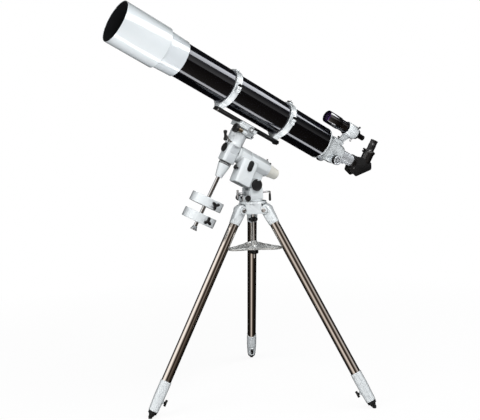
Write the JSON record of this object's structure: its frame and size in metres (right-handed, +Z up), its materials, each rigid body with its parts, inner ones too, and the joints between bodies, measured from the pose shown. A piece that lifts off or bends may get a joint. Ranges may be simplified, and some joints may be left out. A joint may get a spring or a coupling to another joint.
{
  "type": "refractor telescope",
  "caption": "Long refractor with dew shield, tube rings and finder on a German equatorial mount with counterweights and a folding steel tripod with tray.",
  "frame": {"origin": "bottom centre of the bounding box, on the floor", "axes": "+Z up; the tube's front points to -X and up; the XZ plane holds the polar axis and the north leg"},
  "size_m": [1.465, 1.0356, 1.8248],
  "materials": {
    "white_enamel": "smooth white enamel",
    "black_gloss": "gloss black paint",
    "white_castings": "white enamel on cast aluminium",
    "black_plastic": "moulded black",
    "steel": "polished steel",
    "black_anodised": "black anodised",
    "silver": "satin",
    "rubber": "matt",
    "tray_metal": "bare cast",
    "lens_glass": "coated",
    "scope_cream": "smooth cream",
    "circle_black": "black with white marks",
    "finder_black": "gloss black on aluminium"
  },
  "bodies": {
    "tripod": {"tripod_hub": "white_castings", "leg_bolts": "steel", "centre_rod": "steel"},
    "centre_knob": {"centre_knob": "black_plastic"},
    "tray": {"tray": "tray_metal"},
    "tray_knob": {"tray_knob": "black_plastic"},
    "azimuth": {"azimuth_base": "white_castings", "altitude_bolt": "black_plastic"},
    "azimuth_screw_near": {"azimuth_screw_near": "black_plastic"},
    "azimuth_screw_far": {"azimuth_screw_far": "black_plastic"},
    "altitude_screw_front": {"altitude_screw_front": "steel"},
    "altitude_screw_rear": {"altitude_screw_rear": "steel"},
    "altitude": {"ra_housing": "white_castings", "gear_cover": "white_castings", "polar_scope": "black_anodised"},
    "polar_cap": {"polar_cap": "scope_cream"},
    "ra_lever": {"ra_lever": "black_plastic"},
    "ra_head": {"dec_housing": "white_castings"},
    "bore_plug": {"bore_plug": "black_plastic"},
    "dec_lever": {"dec_lever": "black_plastic"},
    "dec_circle": {"dec_circle": "circle_black"},
    "dec_head": {"dec_shaft": "steel", "saddle": "white_castings", "shaft_cone": "white_castings", "weight_shaft": "steel", "dovetail_bar": "black_anodised", "ring_bases": "white_castings", "main_tube": "black_gloss", "lens_cell": "white_castings", "objective_lens": "lens_glass", "dew_shield": "white_castings", "focuser_body": "white_castings"},
    "saddle_knob": {"saddle_knob": "black_plastic"},
    "saddle_jaw": {"saddle_jaw": "white_castings"},
    "toe_cap": {"toe_cap": "steel"},
    "weight_upper": {"weight_upper": "white_enamel"},
    "weight_lower": {"weight_lower": "white_enamel"},
    "weight_screw_upper": {"weight_screw_upper": "black_plastic"},
    "weight_screw_lower": {"weight_screw_lower": "black_plastic"},
    "ring_front": {"ring_top_front": "white_castings"},
    "ring_rear": {"ring_top_rear": "white_castings"},
    "pinion": {"focus_pinion": "silver"},
    "drawtube": {"drawtube": "silver"},
    "diagonal": {"diagonal": "black_anodised"},
    "eyepiece": {"eyepiece": "black_anodised"},
    "finder": {"finder_bracket": "white_castings", "finder_scope": "finder_black"},
    "finder_screw": {"finder_screw": "black_plastic"},
    "leg_a": {"leg_a_castings": "white_castings", "leg_a_tube": "steel"},
    "slider_a": {"leg_a_slider": "rubber"},
    "leg_screw_a": {"leg_a_screw": "black_plastic"},
    "leg_b": {"leg_b_castings": "white_castings", "leg_b_tube": "steel"},
    "slider_b": {"leg_b_slider": "rubber"},
    "leg_screw_b": {"leg_b_screw": "black_plastic"},
    "leg_c": {"leg_c_castings": "white_castings", "leg_c_tube": "steel"},
    "slider_c": {"leg_c_slider": "rubber"},
    "leg_screw_c": {"leg_c_screw": "black_plastic"}
  },
  "joints": [
    {"name": "centre_knob_turn", "type": "hinge", "parent": "tripod", "child": "centre_knob", "pos_m": [-0.01106, 0, 0.848], "axis": [0, 0, 1], "continuous": true},
    {"name": "tray_knob_turn", "type": "hinge", "parent": "tripod", "child": "tray_knob", "pos_m": [-0.01106, 0, 0.69], "axis": [0, 0, 1], "continuous": true},
    {"name": "tray_turn", "type": "hinge", "parent": "tripod", "child": "tray", "pos_m": [-0.01106, 0, 0.712], "axis": [0, 0, 1], "range_deg": [0, 60]},
    {"name": "leg_a_fold", "type": "hinge", "parent": "tripod", "child": "leg_a", "pos_m": [-0.08306, 0, 0.896], "axis": [0, -1, 0], "range_deg": [0, 6]},
    {"name": "leg_a_extend", "type": "slide", "parent": "leg_a", "child": "slider_a", "axis": [-0.4983, 0, -0.867], "range_m": [0, 0.4]},
    {"name": "leg_a_screw_turn", "type": "hinge", "parent": "leg_a", "child": "leg_screw_a", "pos_m": [-0.52919, 0, 0.05961], "axis": [0.867, 0, -0.4983], "continuous": true},
    {"name": "leg_b_fold", "type": "hinge", "parent": "tripod", "child": "leg_b", "pos_m": [0.02494, -0.06235, 0.896], "axis": [0.866, 0.5, 0], "range_deg": [0, 6]},
    {"name": "leg_b_extend", "type": "slide", "parent": "leg_b", "child": "slider_b", "axis": [0.2492, -0.4316, -0.867], "range_m": [0, 0.4]},
    {"name": "leg_b_screw_turn", "type": "hinge", "parent": "leg_b", "child": "leg_screw_b", "pos_m": [0.24801, -0.44872, 0.05961], "axis": [-0.4335, 0.7508, -0.4983], "continuous": true},
    {"name": "leg_c_fold", "type": "hinge", "parent": "tripod", "child": "leg_c", "pos_m": [0.02494, 0.06235, 0.896], "axis": [-0.866, 0.5, 0], "range_deg": [0, 6]},
    {"name": "leg_c_extend", "type": "slide", "parent": "leg_c", "child": "slider_c", "axis": [0.2492, 0.4316, -0.867], "range_m": [0, 0.4]},
    {"name": "leg_c_screw_turn", "type": "hinge", "parent": "leg_c", "child": "leg_screw_c", "pos_m": [0.24801, 0.44872, 0.05961], "axis": [-0.4335, -0.7508, -0.4983], "continuous": true},
    {"name": "azimuth_turn", "type": "hinge", "parent": "tripod", "child": "azimuth", "pos_m": [-0.01106, 0, 0.936], "axis": [0, 0, 1], "range_deg": [-8, 8]},
    {"name": "azimuth_screw_near_slide", "type": "slide", "parent": "azimuth", "child": "azimuth_screw_near", "axis": [0, 1, 0], "range_m": [-0.008, 0.008]},
    {"name": "azimuth_screw_far_slide", "type": "slide", "parent": "azimuth", "child": "azimuth_screw_far", "axis": [0, 1, 0], "range_m": [-0.008, 0.008]},
    {"name": "altitude_tilt", "type": "hinge", "parent": "azimuth", "child": "altitude", "pos_m": [-0.01106, 0, 1.012], "axis": [0, 1, 0], "range_deg": [-6, 6]},
    {"name": "altitude_screw_front_slide", "type": "slide", "parent": "azimuth", "child": "altitude_screw_front", "axis": [1, 0, 0], "range_m": [-0.0042, 0.0042]},
    {"name": "altitude_screw_rear_slide", "type": "slide", "parent": "azimuth", "child": "altitude_screw_rear", "axis": [1, 0, 0], "range_m": [-0.0042, 0.0042]},
    {"name": "polar_cap_pull", "type": "slide", "parent": "altitude", "child": "polar_cap", "axis": [0.891, 0, -0.454], "range_m": [0, 0.05]},
    {"name": "ra_lever_turn", "type": "hinge", "parent": "altitude", "child": "ra_lever", "pos_m": [-0.11938, -0.034, 1.10203], "axis": [-0.891, 0, 0.454], "range_deg": [-60, 60]},
    {"name": "ra_turn", "type": "hinge", "parent": "altitude", "child": "ra_head", "pos_m": [-0.12506, 0, 1.179], "axis": [-0.891, 0, 0.454], "range_deg": [-85, 85]},
    {"name": "bore_plug_pull", "type": "slide", "parent": "ra_head", "child": "bore_plug", "axis": [-0.891, 0, 0.454], "range_m": [0, 0.04]},
    {"name": "dec_lever_turn", "type": "hinge", "parent": "ra_head", "child": "dec_lever", "pos_m": [-0.14336, -0.0285, 1.22237], "axis": [-0.891, 0, 0.454], "range_deg": [-20, 20]},
    {"name": "dec_circle_turn", "type": "hinge", "parent": "dec_head", "child": "dec_circle", "pos_m": [-0.15428, 0.00905, 1.12165], "axis": [0.4496, -0.1392, 0.8823], "continuous": true},
    {"name": "dec_turn", "type": "hinge", "parent": "ra_head", "child": "dec_head", "pos_m": [-0.12506, 0, 1.179], "axis": [0.4496, -0.1392, 0.8823], "continuous": true},
    {"name": "saddle_knob_turn", "type": "hinge", "parent": "dec_head", "child": "saddle_knob", "pos_m": [-0.11929, -0.05523, 1.27842], "axis": [-0.891, 0, 0.454], "range_deg": [0, 720]},
    {"name": "saddle_jaw_open", "type": "slide", "parent": "dec_head", "child": "saddle_jaw", "axis": [-0.0632, -0.9903, -0.124], "range_m": [0, 0.003]},
    {"name": "toe_cap_turn", "type": "hinge", "parent": "dec_head", "child": "toe_cap", "pos_m": [-0.30264, 0.05497, 0.83048], "axis": [0.4496, -0.1392, 0.8823], "continuous": true},
    {"name": "weight_upper_slide", "type": "slide", "parent": "dec_head", "child": "weight_upper", "axis": [0.4496, -0.1392, 0.8823], "range_m": [0, 0.09]},
    {"name": "weight_lower_slide", "type": "slide", "parent": "dec_head", "child": "weight_lower", "axis": [0.4496, -0.1392, 0.8823], "range_m": [-0.018, 0.03]},
    {"name": "weight_screw_upper_turn", "type": "hinge", "parent": "weight_upper", "child": "weight_screw_upper", "pos_m": [-0.24754, -0.02267, 0.93862], "axis": [-0.0632, -0.9903, -0.124], "continuous": true},
    {"name": "weight_screw_lower_turn", "type": "hinge", "parent": "weight_lower", "child": "weight_screw_lower", "pos_m": [-0.2835, -0.01154, 0.86804], "axis": [-0.0632, -0.9903, -0.124], "continuous": true},
    {"name": "ring_front_open", "type": "hinge", "parent": "dec_head", "child": "ring_front", "pos_m": [-0.14453, 0.05701, 1.47559], "axis": [-0.891, 0, 0.454], "range_deg": [0, 70]},
    {"name": "ring_rear_open", "type": "hinge", "parent": "dec_head", "child": "ring_rear", "pos_m": [0.15128, 0.05701, 1.32486], "axis": [-0.891, 0, 0.454], "range_deg": [0, 70]},
    {"name": "focus_turn", "type": "hinge", "parent": "dec_head", "child": "pinion", "pos_m": [0.4304, -0.0277, 1.11715], "axis": [0.0632, 0.9903, 0.124], "range_deg": [-200, 270]},
    {"name": "drawtube_slide", "type": "slide", "parent": "dec_head", "child": "drawtube", "axis": [0.891, 0, -0.454], "range_m": [-0.032, 0.0435]},
    {"name": "diagonal_turn", "type": "hinge", "parent": "drawtube", "child": "diagonal", "pos_m": [0.56424, -0.0341, 1.10008], "axis": [-0.891, 0, 0.454], "continuous": true},
    {"name": "eyepiece_pull", "type": "slide", "parent": "diagonal", "child": "eyepiece", "axis": [0.4496, -0.1392, 0.8823], "range_m": [0, 0.05]},
    {"name": "finder_slide", "type": "slide", "parent": "dec_head", "child": "finder", "axis": [0.891, 0, -0.454], "range_m": [0, 0.06]},
    {"name": "finder_screw_turn", "type": "hinge", "parent": "finder", "child": "finder_screw", "pos_m": [0.4627, -0.06973, 1.22019], "axis": [0.4179, -0.3907, 0.8202], "continuous": true}
  ],
  "couplings": [
    {"joint": "leg_b_fold", "follows": "leg_a_fold", "ratio": 1},
    {"joint": "leg_c_fold", "follows": "leg_a_fold", "ratio": 1},
    {"joint": "tray_turn", "follows": "leg_a_fold", "ratio": 10},
    {"joint": "azimuth_screw_near_slide", "follows": "azimuth_turn", "m_per_rad": 0.054},
    {"joint": "azimuth_screw_far_slide", "follows": "azimuth_turn", "m_per_rad": 0.054},
    {"joint": "altitude_screw_front_slide", "follows": "altitude_tilt", "m_per_rad": -0.038},
    {"joint": "altitude_screw_rear_slide", "follows": "altitude_tilt", "m_per_rad": -0.038},
    {"joint": "saddle_jaw_open", "follows": "saddle_knob_turn", "m_per_rad": 0.00023873},
    {"joint": "focus_turn", "follows": "drawtube_slide", "rad_per_m": 107.53}
  ]
}
